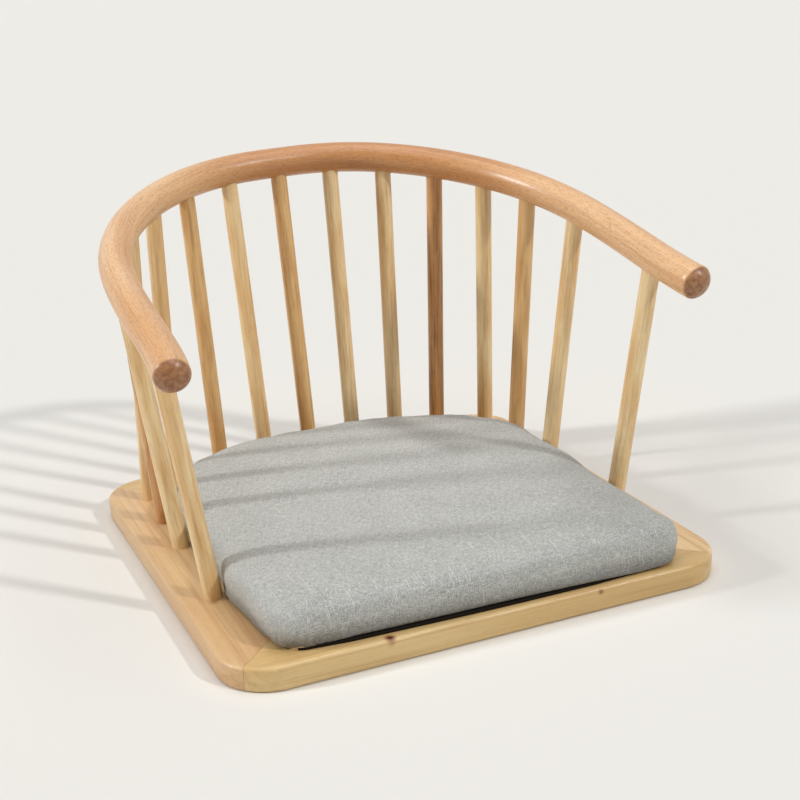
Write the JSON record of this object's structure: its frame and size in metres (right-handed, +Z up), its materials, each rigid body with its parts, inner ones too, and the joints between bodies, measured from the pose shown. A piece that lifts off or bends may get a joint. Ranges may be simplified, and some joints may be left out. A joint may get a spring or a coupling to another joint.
{
  "type": "floor chair",
  "caption": "Legless floor chair: mitred wooden board base, splayed round spindles, bent round arm bow and a loose padded seat cushion.",
  "frame": {"origin": "under the middle of the whole chair, on the floor", "axes": "+X to the viewer's right seen from the front, +Y to the back, +Z up; left and right are mirror images across X = 0"},
  "size_m": [0.5406, 0.5322, 0.3762],
  "materials": {
    "board_pale": "pale yellow hardwood under a thin satin lacquer",
    "board_tawny": "tawny hardwood under a thin satin lacquer",
    "spindle_pale": "pale yellow turned hardwood, satin lacquer",
    "spindle_brown": "reddish brown turned hardwood with dark grain, satin lacquer",
    "bow_beech": "pinkish orange bent beech with short fine flecks, soft satin sheen",
    "ply": "plain unfinished plywood",
    "linen": "grey linen weave with lighter slub threads",
    "screw_steel": "zinc plated"
  },
  "bodies": {
    "frame": {"base_front_rail": "board_pale", "base_right_rail": "board_tawny", "base_back_rail": "board_pale", "base_left_rail": "board_tawny", "mitre_tongue_front_left": "ply", "mitre_tongue_front_right": "ply", "mitre_tongue_back_right": "ply", "mitre_tongue_back_left": "ply", "seat_panel": "ply", "panel_screw_1": "screw_steel", "panel_screw_2": "screw_steel", "panel_screw_3": "screw_steel", "panel_screw_4": "screw_steel", "panel_screw_5": "screw_steel", "panel_screw_6": "screw_steel", "panel_screw_7": "screw_steel", "panel_screw_8": "screw_steel", "arm_bow": "bow_beech", "spindle_01": "spindle_pale", "spindle_02": "spindle_pale", "spindle_03": "spindle_pale", "spindle_04": "spindle_pale", "spindle_05": "spindle_brown", "spindle_06": "spindle_pale", "spindle_07": "spindle_pale", "spindle_08": "spindle_pale", "spindle_09": "spindle_pale", "spindle_10": "spindle_pale", "spindle_11": "spindle_pale", "spindle_12": "spindle_pale", "spindle_13": "spindle_brown", "spindle_14": "spindle_pale", "spindle_15": "spindle_pale"},
    "cushion": {"seat_cushion": "linen", "cushion_board": "ply"}
  },
  "joints": [
    {"name": "cushion_lift", "type": "slide", "parent": "frame", "child": "cushion", "axis": [0, 0, 1], "range_m": [0, 0.4]}
  ]
}
